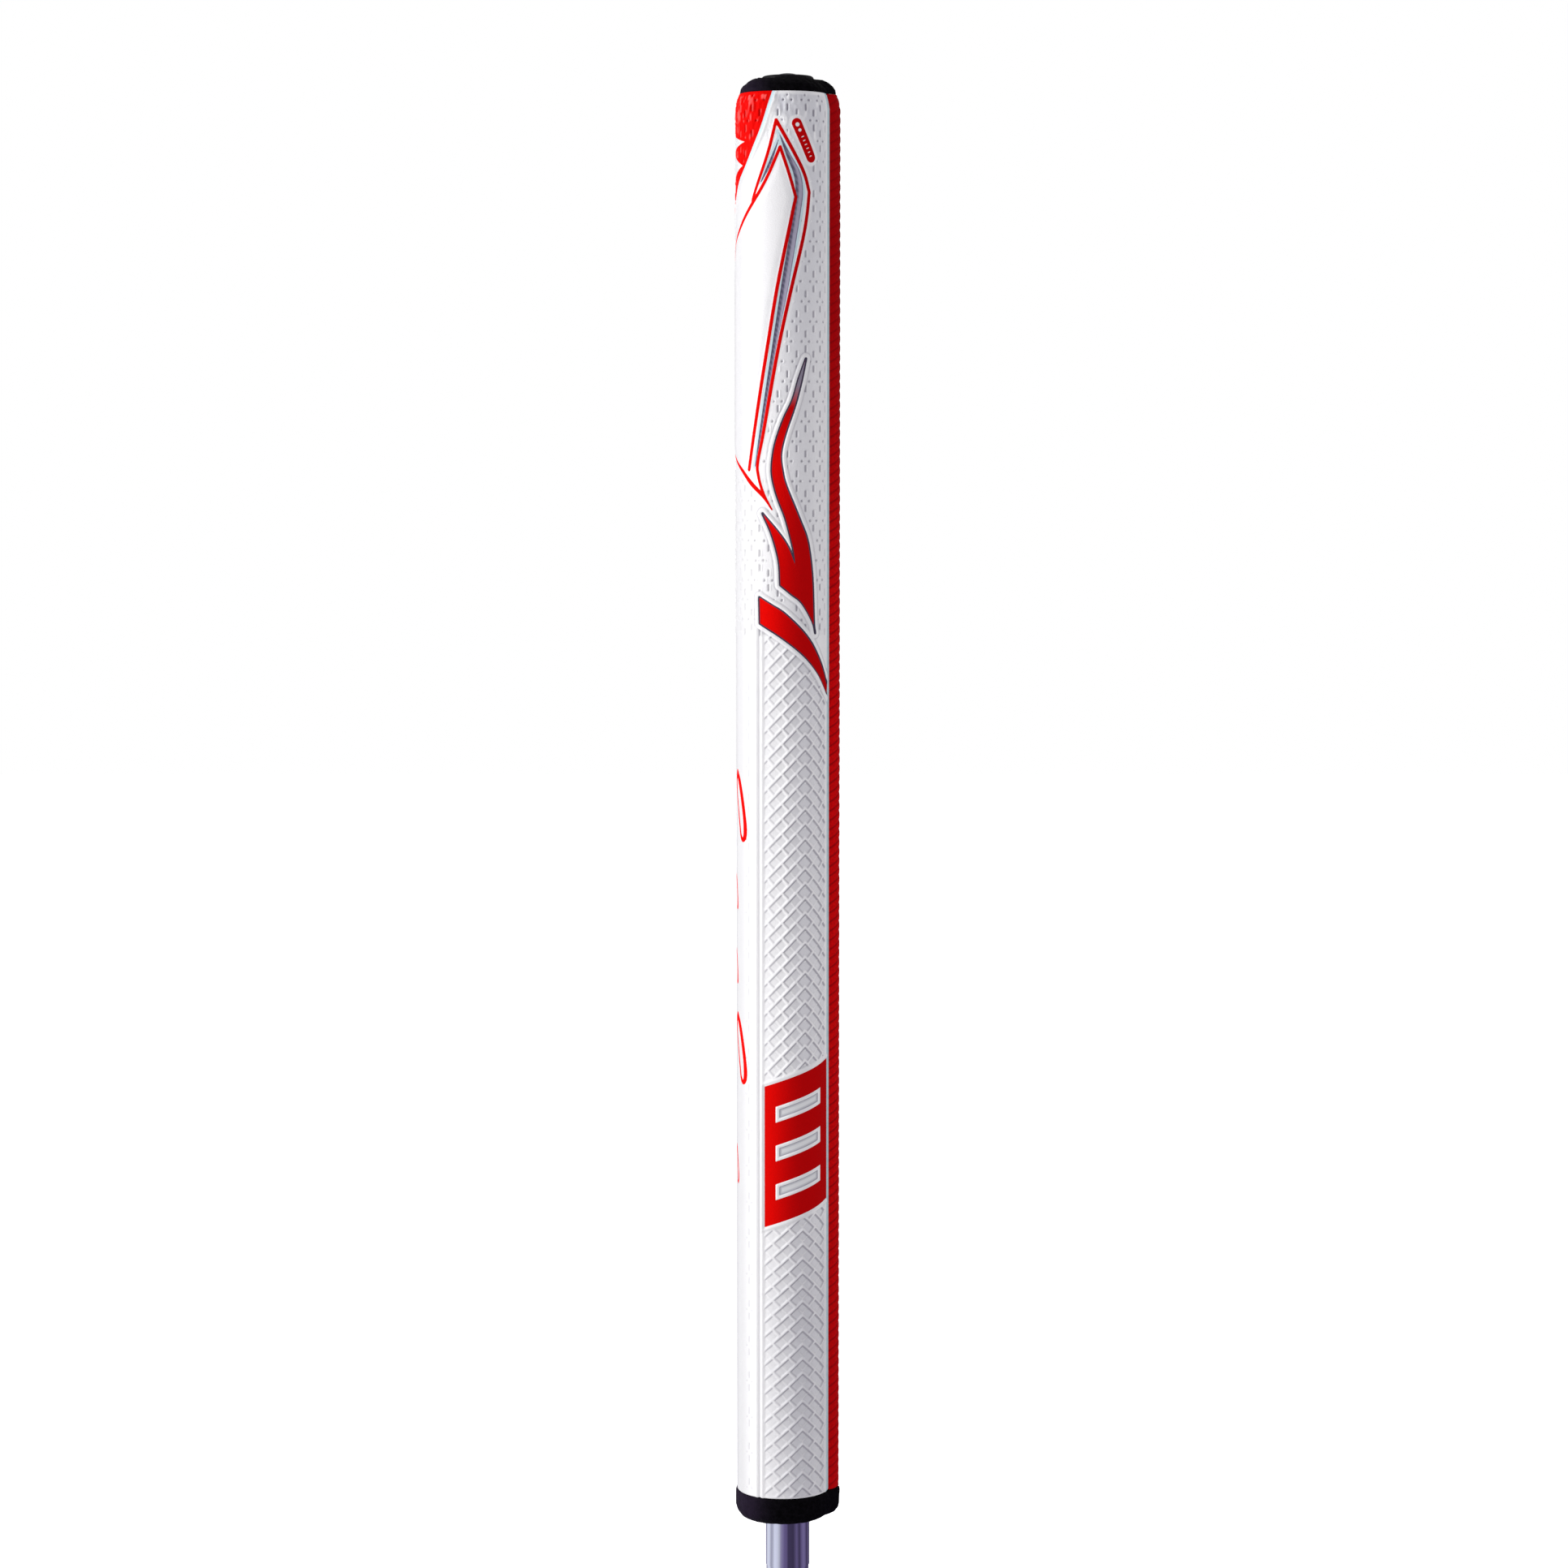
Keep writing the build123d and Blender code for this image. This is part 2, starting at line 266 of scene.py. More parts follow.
def crosses(u, z):
    """Depth of the small sunk crosses, in staggered columns."""
    depth = np.zeros(u.shape)
    for shift in (-1, 0, 1):
        column = np.round((u - CROSS_FIRST) / CROSS_PITCH) + shift
        du = u - CROSS_FIRST - column * CROSS_PITCH
        stagger = np.where(column % 2 == 0, 0.0, CROSS_PERIOD / 2)
        dz = nearest(z - CROSS_ROW - stagger, CROSS_PERIOD)
        depth = np.maximum(depth, sunk_cross(du, dz, **CROSS))
    return depth


def front_crosses(u, z):
    """Depth of the faint column each side of the thumb front."""
    depth = sunk_cross(u - FRONT_COLUMN, nearest(z, FRONT_PERIOD), **FRONT_CROSS)
    return depth * ramp(FRONT_TOP - z, 0, 1) * ramp(z - LOW, 1.0, 3.0)


def puckers(u, z):
    """Soft creases of the wrap, longer up it than round it, mostly between -1 and 1."""
    rng = np.random.default_rng(11)
    total = np.zeros(u.shape)
    for _ in range(PUCKER_WAVES):
        across = rng.normal(0, 2.0)
        along = rng.normal(0, 0.8)
        start = rng.uniform(0, 2 * math.pi)
        total += np.sin(across * u + along * z + start)
    return total / math.sqrt(PUCKER_WAVES)


def woven(u, z, reach, step, first, apex):
    """Relief of slanted straps that cross, mirrored at the apex. Reach and step are half periods
    round and up the wrap. Returns how far into a pocket each point is (0 to 1), the slope across
    the pocket, a mask of painted shade along its borders and one of painted highlight on the crests."""
    side = np.where(u > apex, 2 * apex - u, u) - first
    p = (side / reach + z / step) / 2
    q = (side / reach - z / step) / 2
    spacing = 2 * reach * step / math.hypot(reach, step)
    strap = np.floor(q)
    rib = np.round(p)
    across = (q - strap) * spacing
    from_rib = (p - rib) * spacing
    along = np.abs(from_rib)
    wide = (rib + strap) % 2 == 0

    inside = ramp(np.minimum(across, spacing - across), 0.16, 0.70)
    pocket = inside * np.where(wide, ramp(along, 0.2, 0.72), 0.2 + 0.8 * ramp(along, 0.05, 0.34))
    tilt = (p - np.floor(p)) - (q - strap)
    # painted shade along the pocket's upper border and the wide rib's foot
    upper_edge = (1 - ramp(np.abs(across - 0.42), 0.1, 0.34)) * np.where(wide, ramp(along, 0.15, 0.5), 1)
    foot_edge = wide * (1 - ramp(np.abs(from_rib - 0.45), 0.1, 0.34)) * inside
    # painted highlight on the ribs' crests and bars
    crest = 1 - ramp(np.abs(spacing - across - 0.22), 0.16, 0.44)
    wide_bar = 0.8 * (1 - ramp(np.abs(from_rib + 0.1), 0.12, 0.42))
    narrow_bar = 0.7 * (1 - ramp(along, 0.08, 0.3))
    bar = np.where(wide, wide_bar, narrow_bar) * inside
    return pocket, tilt, np.maximum(upper_edge, 0.6 * foot_edge), np.maximum(crest, bar)


# ---- the print


def tongue_field(u, z):
    """The red tongue that hangs down the front from the cap."""
    down = mirrored(TONGUE)
    return shape([down, [down[-1], down[0]]], u, z)


def pad_field(u, z):
    """The raised pad inside the inner line, on both halves of the wrap."""
    right = [INNER_LEFT[::-1], INNER_RIGHT, INNER_DOWN, [INNER_DOWN[-1], LOWER[3]], LOWER[3::-1]]
    left = [[(-u0, z0) for u0, z0 in run[::-1]] for run in right[::-1]]
    return shape(right + left, u, z)


def lines_field(u, z):
    """The red lines round the pad."""
    return np.minimum.reduce([stroke(run, widths, u, z) for run, widths in LINES])


def stripe_field(u, z):
    """The slate stripe between the red lines, with its short left arm."""
    arm = stroke(STRIPE_LEFT, (0.2, 0.9, 0.9, 0.3), u, z)
    return np.minimum(stroke(STRIPE, STRIPE_WIDTHS, u, z), arm)


def sheen_field(u, z, stripe):
    """The paler side of the slate stripe."""
    moved = [(u0 + 0.75, z0) for u0, z0 in STRIPE]
    return np.maximum(stripe, stroke(moved, STRIPE_WIDTHS, u, z) + 0.25)


def pill_marks(u, z):
    """Two dots and a row of short bars along the pill, which stand for nothing."""
    (u0, z0), (u1, z1) = PILL
    length = math.hypot(u1 - u0, z1 - z0)
    du, dz = (u1 - u0) / length, (z1 - z0) / length
    along = (u - u0) * du + (z - z0) * dz
    across = (u - u0) * dz - (z - z0) * du
    dots = np.minimum(np.hypot(along - 0.4, across) - 0.62, np.hypot(along - 2.2, across) - 0.5)
    step = (along - BARS_START) / BARS_STEP
    step = (step - np.clip(np.round(step), 0, BARS - 1)) * BARS_STEP
    bars = np.maximum(np.abs(step) - 0.14, np.abs(across) - 0.45)
    return np.minimum(dots, bars)


def block_level(u, z):
    """Height of a point after the block's slant is taken off."""
    return z - BLOCK_RISE * (u - BLOCK_LEFT)


def block_field(u, z):
    """The slanted red block."""
    middle, half = (BLOCK_LOW + BLOCK_HIGH) / 2, (BLOCK_HIGH - BLOCK_LOW) / 2
    sides = np.maximum(BLOCK_LEFT - u, u - BLOCK_RIGHT)
    return np.maximum(np.abs(block_level(u, z) - middle) - half, sides)


def slots_field(u, z):
    """The silver slots in the block."""
    inset = np.maximum(BLOCK_LEFT - u, u - BLOCK_RIGHT) + SLOT_INSET
    rise = block_level(u, z) - BLOCK_LOW
    from_slot = np.minimum.reduce([np.abs(rise - middle) for middle in SLOTS])
    return np.maximum(from_slot - SLOT_HALF, inset)


def rings_field(u, z):
    """The red rings down the front."""
    rings = np.full(u.shape, FAR)
    for foot, grow in RINGS:
        outline = [(u0 * grow, foot + z0 * grow) for u0, z0 in RING]
        rings = np.minimum(rings, stroke(outline, np.array(RING_WIDTHS) * grow, u, z))
    return rings


def diamonds_field(u, z):
    """The white diamonds on the tongue."""
    return np.minimum.reduce([(u / wide + np.abs(z - height) / tall - 1) * tall * 0.9
                              for height, wide, tall in DIAMONDS])


# ---- layers of the wrap

SKIN_STEP = 0.26  # between points of the skin's mesh
ZONE_END = 43.0  # past the skin's edge
BAND_LOW = 398.0  # smooth band beside the tongue, above this height
PUCKERED = (404.0, 430.0)  # heights between which the creases set in
LIP = 0.5  # how far beside a cross its raised lip lies, which also carries a painted highlight
BEAD_TOP = 277.0  # upper end of the fine sunk line


def below_slash_field(u, z):
    """What lies under the lower slash, down to past the block."""
    start, foot = ZONE_LEFT - FAR, 115.0
    top = [(start, 277.0), (ZONE_LEFT, 276.6), (23.3, 272.9), (30.0, 267.7), (35.3, 262.2), (39.3, 256.4),
           (ZONE_END, 250.0)]
    right, left = (ZONE_END, foot), (start, foot)
    return shape([top, [top[-1], right], [right, left], [left, top[0]]], u, z)


def weave_layers(u, z):
    """The weave above the block and the herringbone below it, put together."""
    level = block_level(u, z)
    sides = np.maximum(ZONE_LEFT - u, u - (SKIN_EDGE - 1.1))
    weave_zone = np.maximum.reduce([sides, below_slash_field(u, z), BLOCK_HIGH + 1.4 - level])
    chevron_zone = np.maximum.reduce([sides, level - BLOCK_LOW + 1.4, LOW + 0.4 - z])
    layers = np.zeros((4, *u.shape))
    for zone, row, pattern in ((weave_zone, WEAVE_ROW, WEAVE), (chevron_zone, CHEVRON_ROW, CHEVRON)):
        pocket, tilt, edge, crest = woven(u, z - row, **pattern)
        layers += ramp(-zone, 0, 0.4) * np.stack([pocket, pocket * tilt, edge, crest])
    pockets, tilt, edges, crests = layers
    # painted shade along the pockets' borders, weaker beside the front
    edges *= 0.6 + 0.4 * ramp(u, 20.0, 27.0)
    # painted highlight on the crests, strongest from 25 to 30.5 mm round the wrap
    crests *= 0.35 + 0.65 * ramp(u, 20.5, 25.0) * (1 - ramp(u, 30.5, 34.0))
    return pockets, tilt, edges, crests


def print_shapes(u, z):
    """Distance from the edge of each printed shape, negative inside."""
    upper = shape([UPPER_LEFT, PRONG_RIGHT, PRONG_LEFT, UPPER_FOOT, UPPER_RIGHT], u, z)
    lower = shape([LOWER_TOP, LOWER_FOOT], u, z)
    return SimpleNamespace(
        tongue=tongue_field(u, z), pad=pad_field(u, z), lines=lines_field(u, z), stripe=stripe_field(u, z),
        pill=stroke(PILL, PILL_WIDTH, u, z), upper=upper, slashes=np.minimum(upper, lower),
        block=block_field(u, z), slots=slots_field(u, z), diamonds=diamonds_field(u, z))


def plain_skin(u, z, shapes):
    """1 where the skin is free of print and shows crosses and creases, and 0 on print."""
    plain = np.minimum.reduce([
        shapes.lines - 0.4, shapes.stripe, shapes.pill - 0.6, shapes.slashes - 1.4,
        np.abs(shapes.tongue) - 0.8, np.abs(shapes.diamonds) - 0.4, SKIN_EDGE - 1.0 - u,
        np.where(shapes.pad < 0, -1.0, FAR), np.where(z < PATTERN_LOW, -1.0, FAR)])
    beside_tongue = (shapes.tongue > -0.5) & (z > BAND_LOW)
    band = np.where(beside_tongue, ramp(u, 19.0, 21.0), 1.0)
    return band * ramp(plain, 0.2, 0.7) * ramp(HIGH - z, 0.6, 1.4)


def sunk_patterns(u, z, shapes):
    """Depth of each sunk pattern, and the distance from each sunk line."""
    pockets, tilt, edges, crests = weave_layers(u, z)
    clear = plain_skin(u, z, shapes)
    return SimpleNamespace(
        pockets=pockets, tilt=tilt, edges=edges, crests=crests, clear=clear,
        holes=crosses(u, z) * clear, lips=crosses(u - LIP, z) * clear, faint=front_crosses(u, z),
        creases=puckers(u, z) * clear * ramp(z, *PUCKERED) * (1 - 0.5 * ramp(u, 28.0, 36.0)),
        line=np.abs(u - BEAD_LINE) + FAR * ramp(z, BEAD_TOP, BEAD_TOP + 0.5),
        frame=ridge(shapes.slashes, 1.85, 0.32))


def relief_height(u, shapes, sunk):
    """How far the skin stands off the wrap, with a height for each pattern and shape."""
    shallow = 0.30 + 0.70 * ramp(u, ZONE_LEFT, ZONE_LEFT + 14)      # weave, beside the front
    relief = shallow * (-0.44 * sunk.pockets - 0.14 * sunk.tilt)
    relief += 0.18 * sunk.lips - 0.42 * sunk.holes - 0.14 * sunk.faint
    relief += 0.13 * sunk.creases - 0.12 * sunk.frame
    relief += 0.34 * ramp(-shapes.pad, -0.5, 3.0)
    relief += 0.16 * ridge(shapes.lines, -0.5, 1.0) - 0.2 * ramp(-shapes.stripe, 0, 0.5)
    relief += 0.3 * ridge(shapes.slashes, 1.0, 0.8) - 0.1 * ramp(-shapes.slashes, -0.2, 0.5)
    relief += 0.3 * ridge(shapes.tongue, 1.2, 0.9)
    relief += 0.2 * ramp(-shapes.pill, -0.4, 0.3)
    relief += 0.24 * ridge(shapes.slots, 0.6, 0.6) - 0.2 * ramp(-shapes.slots, 0.0, 0.4)
    relief += 0.26 * ridge(shapes.block, 0.8, 0.8)
    relief += 0.26 * ridge(sunk.line, 1.0, 0.7) - 0.24 * ridge(sunk.line, 0, 0.34)
    return relief + 0.2 * ridge(SKIN_EDGE - u, 0.6, 0.55)


def shader_fields(u, z, shapes, sunk):
    """What the skin's material reads: distances from printed shapes, strengths of patterns, and masks of
    painted shade and painted highlight.
    """
    # painted shade in sunk crosses, sunk lines and the slashes' frame, and along the weave's borders
    beside = (0.12 + 0.68 * ramp(u, 14.0, 24.0)) * (1 + 0.35 * ramp(z, 418.0, 432.0))
    hole_shade = np.where(shapes.tongue < 0, 0.75, beside) * sunk.holes + 0.95 * sunk.edges
    hole_shade += 0.3 * sunk.faint + 0.5 * ridge(sunk.line, 0, 0.34) + 0.5 * sunk.frame
    # painted shade over the crossed skin, deeper towards the top and fainter near the skin's edge
    pricked_shade = sunk.clear * ramp(u, 20.0, 24.0) * (0.3 + 0.7 * ramp(z, 330.0, 425.0))
    red = [np.maximum(shapes.tongue, -shapes.diamonds), shapes.lines, shapes.slashes, rings_field(u, z),
           np.maximum(shapes.pill, -pill_marks(u, z)), np.maximum(shapes.block, SLOT_FRAME - shapes.slots)]
    ice = [np.abs(shapes.tongue - 0.5) - 0.5, shapes.stripe - 0.7, SKIN_EDGE - 0.7 - u]
    return {
        # painted shade in the weave's pockets, fading in from the front
        "pocket": sunk.pockets * ramp(u, ZONE_LEFT, ZONE_LEFT + 17),
        "hole_shade": hole_shade,
        "red": np.minimum.reduce(red),
        "dark": shapes.stripe,
        "sheen": sheen_field(u, z, shapes.stripe),
        "rim": shapes.slashes - 0.48,
        # painted highlight beside each cross, on its raised lip
        "lip": sunk.lips,
        # the creases, for painted shade in their hollows and painted highlight on their crests
        "crease": sunk.creases,
        # painted highlight on the weave's crests
        "lit": sunk.crests,
        "pricked_shade": pricked_shade * (1 - 0.6 * ramp(u, SKIN_EDGE - 6, SKIN_EDGE - 1)),
        "ice": np.minimum.reduce(ice),
        "silver": shapes.slots,
        "upper": shapes.upper,
    }


# ---- meshes


def grid_faces(rows, columns, first=0):
    index = first + np.arange(rows * columns).reshape(rows, columns)
    return np.stack([index[:-1, :-1], index[:-1, 1:], index[1:, 1:], index[1:, :-1]], -1).reshape(-1, 4)


def link(name, data):
    obj = bpy.data.objects.new(name, data)
    bpy.context.scene.collection.objects.link(obj)
    return obj


def make_mesh(name, points, quads, triangles, uv, smooth_quads):
    """A mesh from arrays. The uv array has a row for each corner, quads first."""
    mesh = bpy.data.meshes.new(name)
    mesh.vertices.add(len(points))
    mesh.vertices.foreach_set("co", (points * MM).astype(np.float32).ravel())
    corners = np.concatenate([quads.ravel(), triangles.ravel()])
    totals = np.concatenate([np.full(len(quads), 4), np.full(len(triangles), 3)])
    mesh.loops.add(len(corners))
    mesh.loops.foreach_set("vertex_index", corners.astype(np.int32))
    mesh.polygons.add(len(totals))
    starts = np.concatenate([[0], np.cumsum(totals)[:-1]])
    mesh.polygons.foreach_set("loop_start", starts.astype(np.int32))
    mesh.polygons.foreach_set("use_smooth", np.arange(len(totals)) < smooth_quads)
    layer = mesh.uv_layers.new(name="OFBake")
    layer.data.foreach_set("uv", uv.astype(np.float32).ravel())
    mesh.update(calc_edges=True)
    mesh.validate()
    return link(name, mesh)


def quad_corners(u0, u1, v0, v1):
    """Map corners of quads between u0 and u1, and v0 and v1."""
    u0, u1, v0, v1 = np.broadcast_arrays(u0, u1, v0, v1)
    corner_u = np.stack([u0, u1, u1, u0], 1)
    corner_v = np.stack([v0, v0, v1, v1], 1)
    return np.stack([corner_u, corner_v], -1).reshape(-1, 2)


def sheet_map(rows, per_row, segments):
    """A sheet's map: the outer grid in segments side by side, and above them the rest in strips."""
    row = np.repeat(np.arange(rows - 1), per_row)
    across = np.arange(per_row)
    column = np.tile(across, rows - 1)
    long = int(math.ceil((rows - 1) / segments))
    part, within = row // long, row % long
    u0 = (part + 0.02 + 0.96 * column / per_row) / segments
    v0 = 0.93 * within / long
    maps = [quad_corners(u0, u0 + 0.96 / per_row / segments, v0, v0 + 0.93 / long)]
    left, right = 0.01 + 0.98 * across / per_row, 0.01 + 0.98 * (across + 1) / per_row
    for strip in range(3):
        low = 0.94 + 0.012 * strip
        maps.append(quad_corners(left, right, low, low + 0.01))
    along = np.linspace(0.01, 0.99, rows + 1)
    for strip in range(2):
        low = 0.978 + 0.011 * strip
        corners = quad_corners(along[:-1], along[1:], low, low + 0.008).reshape(-1, 4, 2)
        maps.append(corners[:, :3].reshape(-1, 2))
    return np.concatenate(maps)


def side_fan(edge, low, high):
    """Triangles between an edge column of the outer grid and the two inner points beside it."""
    half = len(edge) // 2
    fan = [(low if k < half else high, edge[k + 1], edge[k]) for k in range(len(edge) - 1)]
    return np.array(fan + [(low, high, edge[half])])


def sheet(name, outer, inner, segments):
    """A closed sheet: a fine outer grid, an inner one with two rows, and walls between them."""
    rows, columns = outer.shape[:2]
    points = np.concatenate([outer, inner]).reshape(-1, 3)
    base = rows * columns
    last = base - columns
    front = grid_faces(rows, columns)
    back = grid_faces(2, columns, base)[:, ::-1]
    near = np.arange(columns - 1)
    far = near + 1
    foot = np.stack([base + near, base + far, far, near], 1)
    head = np.stack([last + near, last + far, base + columns + far, base + columns + near], 1)
    quads = np.concatenate([front, back, foot, head])
    left = side_fan(np.arange(rows) * columns, base, base + columns)
    right = side_fan(np.arange(rows) * columns + columns - 1, base + columns - 1, base + 2 * columns - 1)
    triangles = np.concatenate([left, right[:, ::-1]])
    uv = sheet_map(rows, columns - 1, segments)
    return make_mesh(name, points, quads, triangles, uv, len(front))


def give(obj, name, values):
    """A float attribute for each point. Values past the end are left far from any print."""
    attribute = obj.data.attributes.new(name, "FLOAT", "POINT")
    full = np.full(len(obj.data.vertices), FAR, np.float32)
    full[:len(values)] = values
    attribute.data.foreach_set("value", full)


# ---- wrapped pieces

END_ROUND = 0.35  # radius of a sheet's lower and upper edge
SHOULDER_DROP = 1.05  # how far the wrap draws in under the cap
SHOULDER_HEIGHT = 5.0
ROPE_PITCH = 2.85  # between the ribs of the spine
ROPE_SLANT = 3.1  # how far a rib rises from the middle to the edge
STRANDS = 4  # fine ridges in a rib


def end_round(z):
    """How far a sheet draws in near its two ends."""
    near = np.clip(1 - np.minimum(z - LOW, HIGH - z) / END_ROUND, 0, 1)
    return -END_ROUND * (1 - np.sqrt(1 - near**2))


def shoulder(z):
    """How far the wrap draws in under the cap."""
    return SHOULDER_DROP * np.clip((z - HIGH + SHOULDER_HEIGHT) / SHOULDER_HEIGHT, 0, 1) ** 1.5


def on_wrap(u, lift, z):
    """Points of the wrap, as an array with x, y and z last."""
    x, y = round_wrap(u, lift)
    return np.stack([x, y, z + 0 * x], -1)


def two_ends(row):
    """The same row at the wrap's lower and at its upper end, with those heights."""
    return np.stack([row, row]), np.array([[LOW], [HIGH]])


def wrap_inside(row):
    """The inner side of a sheet of the wrap, from the row of its outer side."""
    ends, end_heights = two_ends(row)
    return on_wrap(ends, -SKIN, end_heights)


def both_halves(layer):
    """One half of the wrap and its mirror image, side by side."""
    return np.hstack([layer[:, :0:-1], layer])


def skin():
    """The white skin with its relief, and the print as distance fields."""
    half = np.linspace(0, SKIN_EDGE, int(SKIN_EDGE / SKIN_STEP) + 1)
    heights = np.linspace(LOW, HIGH, int((HIGH - LOW) / SKIN_STEP) + 1)
    u, z = np.meshgrid(half, heights)
    shapes = print_shapes(u, z)
    sunk = sunk_patterns(u, z, shapes)
    relief = both_halves(relief_height(u, shapes, sunk))
    fields = shader_fields(u, z, shapes, sunk)
    u, z = np.meshgrid(np.concatenate([-half[:0:-1], half]), heights)
    lift = relief + end_round(z) - shoulder(z)
    lift -= 0.5 * ramp(np.abs(u), SKIN_EDGE - 0.45, SKIN_EDGE) ** 2
    lift = np.maximum(lift, 0.08 - SKIN)
    obj = sheet("white_skin_relief", on_wrap(u, lift, z), wrap_inside(u[0]), 3)
    for name, values in fields.items():
        give(obj, name, both_halves(values).ravel())
    return obj


def spine():
    """The red spine with its rope-like ribs."""
    low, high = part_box("spine_skin")
    foot, top, half = low.y / MM, high.y / MM, high.x / MM
    rise = top - foot
    radius = (half**2 + rise**2) / (2 * rise)
    centre = top - radius
    reach = math.asin(half / radius)
    turn = np.linspace(reach, -reach, 56)
    t, z = np.meshgrid(turn, np.linspace(LOW, HIGH, 1900))
    phase = (z + ROPE_SLANT * t / reach) / ROPE_PITCH
    lobe = np.abs(np.cos(math.pi * phase))
    strands = np.abs(np.cos(math.pi * (STRANDS * phase + 3.0 * t / reach)))
    relief = 0.34 * lobe**0.6 - 0.24 - 0.06 * strands * lobe
    relief *= 1 - ramp(np.abs(t) / reach, 0.88, 1.0)
    r = radius + relief + end_round(z)
    # Under the cap the spine draws in the way the piping beside it does
    edge, lifted = round_wrap(TRIM_FAR, 0), round_wrap(TRIM_FAR, 1)
    lean, drop = lifted[0] - edge[0], lifted[1] - edge[1]
    x = r * np.sin(t) - lean * shoulder(z) * t / reach
    y = centre + r * np.cos(t) - drop * shoulder(z)
    ends, end_heights = two_ends(turn)
    inner_x = (radius - SKIN) * np.sin(ends)
    inner_y = centre + (radius - SKIN) * np.cos(ends)
    inner = np.stack([inner_x, inner_y, end_heights + 0 * ends], -1)
    obj = sheet("spine_rope", np.stack([x, y, z], -1), inner, 4)
    # strength of painted shade between the ribs
    give(obj, "groove_shade", (1 - lobe).ravel())
    return obj


def trim(name, side):
    """A rounded piping strip between the skin and the spine."""
    across = np.linspace(SKIN_EDGE + SEAM, TRIM_FAR, 13)
    u, z = np.meshgrid(across, np.linspace(LOW, HIGH, 700))
    t = (u - across[0]) / (across[-1] - across[0]) * 2 - 1
    lift = 0.35 * np.sqrt(np.clip(1 - t**2, 0, 1)) - 0.22 + end_round(z) - shoulder(z)
    if side < 0:
        u, lift, z = -u[:, ::-1], lift[:, ::-1], z[:, ::-1]
    return sheet(name, on_wrap(u, lift, z), wrap_inside(u[0]), 6)


# ---- rubber ends

HUMP, HUMP_WIDTH = 2.6, 0.27  # where the rubber ends stand out behind the spine, in mm and radians
TURN_POINTS = 420
SIDE_POINTS = 5  # along each side of a profile
WRAP, AXIS = 0, 1  # a profile's corner is an inset from the wrap's outline or a radius from the axis


def profile_rings(profile, outline):
    """Radii and heights of the rings along a closed profile, and 1 for each that is inside."""
    radii, heights, inner = [], [], []
    for (size0, z0, base0), (size1, z1, base1) in zip(profile, profile[1:] + profile[:1]):
        radius0 = np.where(base0, size0, outline - size0)
        radius1 = np.where(base1, size1, outline - size1)
        for t in np.arange(SIDE_POINTS) / SIDE_POINTS:
            radii.append(radius0 + (radius1 - radius0) * t)
            heights.append(z0 + (z1 - z0) * t + 0 * outline)
            inner.append(base0 * base1)
    return np.array(radii), np.array(heights), np.array(inner)


def lumps(turns, rows):
    """The slight unevenness of moulded rubber, in millimetres."""
    rng = np.random.default_rng(5)
    total = np.zeros(turns.shape)
    for waves in (3, 5, 8, 13, 21, 34):
        size = rng.uniform(0.5, 1)
        twist = rng.uniform(0.1, 0.5)
        start = rng.uniform(0, 6)
        total += size * np.sin(turns * waves + rows * twist + start)
    return 0.035 * total + rng.normal(0, 0.012, turns.shape)


def turned(name, *runs):
    """A closed rubber piece round the axis, smooth inside and slightly uneven outside."""
    profile = [(size, height, base) for base, corners in runs for size, height in corners]
    angle = np.linspace(0, 2 * math.pi, TURN_POINTS, endpoint=False)
    back = np.minimum(angle, 2 * math.pi - angle)
    outline = np.interp(back, ANGLES, RADII) + HUMP * np.exp(-((back - math.pi) / HUMP_WIDTH) ** 2)
    radius, z, inner = profile_rings(profile, outline)
    turns, rows = np.meshgrid(angle, np.arange(len(inner)))
    uneven = lumps(turns, rows) * (1 - inner[:, None])
    radius, z = radius + uneven, z + uneven
    points = np.stack([radius * np.sin(turns), -radius * np.cos(turns), z], -1).reshape(-1, 3)
    index = np.arange(len(points)).reshape(turns.shape)
    right, up = np.roll(index, -1, 1), np.roll(index, -1, 0)
    quads = np.stack([index, right, np.roll(right, -1, 0), up], -1).reshape(-1, 4)
    u0 = 0.01 + 0.98 * (turns / 2 / math.pi).ravel()
    v0 = 0.01 + 0.98 * (rows / len(inner)).ravel()
    uv = quad_corners(u0, u0 + 0.98 / TURN_POINTS, v0, v0 + 0.98 / len(inner))
    return make_mesh(name, points, quads, np.zeros((0, 3), int), uv, len(quads))


def cap():
    """The butt cap: a soft domed rim, the seat of the port and the skirt round the shaft."""
    crown = [(1.45, 438.0), (1.3, 438.4), (1.55, 439.4), (2.3, 440.5), (3.5, 441.5), (5.4, 442.4)]
    seat = [(8.5, 442.5), (8.35, 442.3), (8.35, 440.65), (8.5, 440.6), (8.52, 434.45), (7.9, 434.4)]
    skirt = [(7.87, 424.1), (8.0, 424.0), (9.2, 424.0), (9.3, 424.1), (9.3, 437.98)]
    return turned("butt_cap_dome", (WRAP, crown), (AXIS, seat + skirt))


def collar():
    """The mouth collar, with its rounded lower edge."""
    top = [(1.85, 8.6), (1.85, 5.8), (1.95, 5.68)]
    bore = [(7.3, 5.68), (7.11, 5.6), (7.11, 0.1), (7.2, 0.0)]
    wall = [(4.2, 0.0), (2.4, 0.2), (1.0, 0.9), (0.1, 2.1), (-0.3, 3.5), (-0.35, 7.2), (-0.15, 8.3),
            (0.25, 8.66)]
    return turned("mouth_collar_ring", (WRAP, top), (AXIS, bore), (WRAP, wall))


# ---- materials


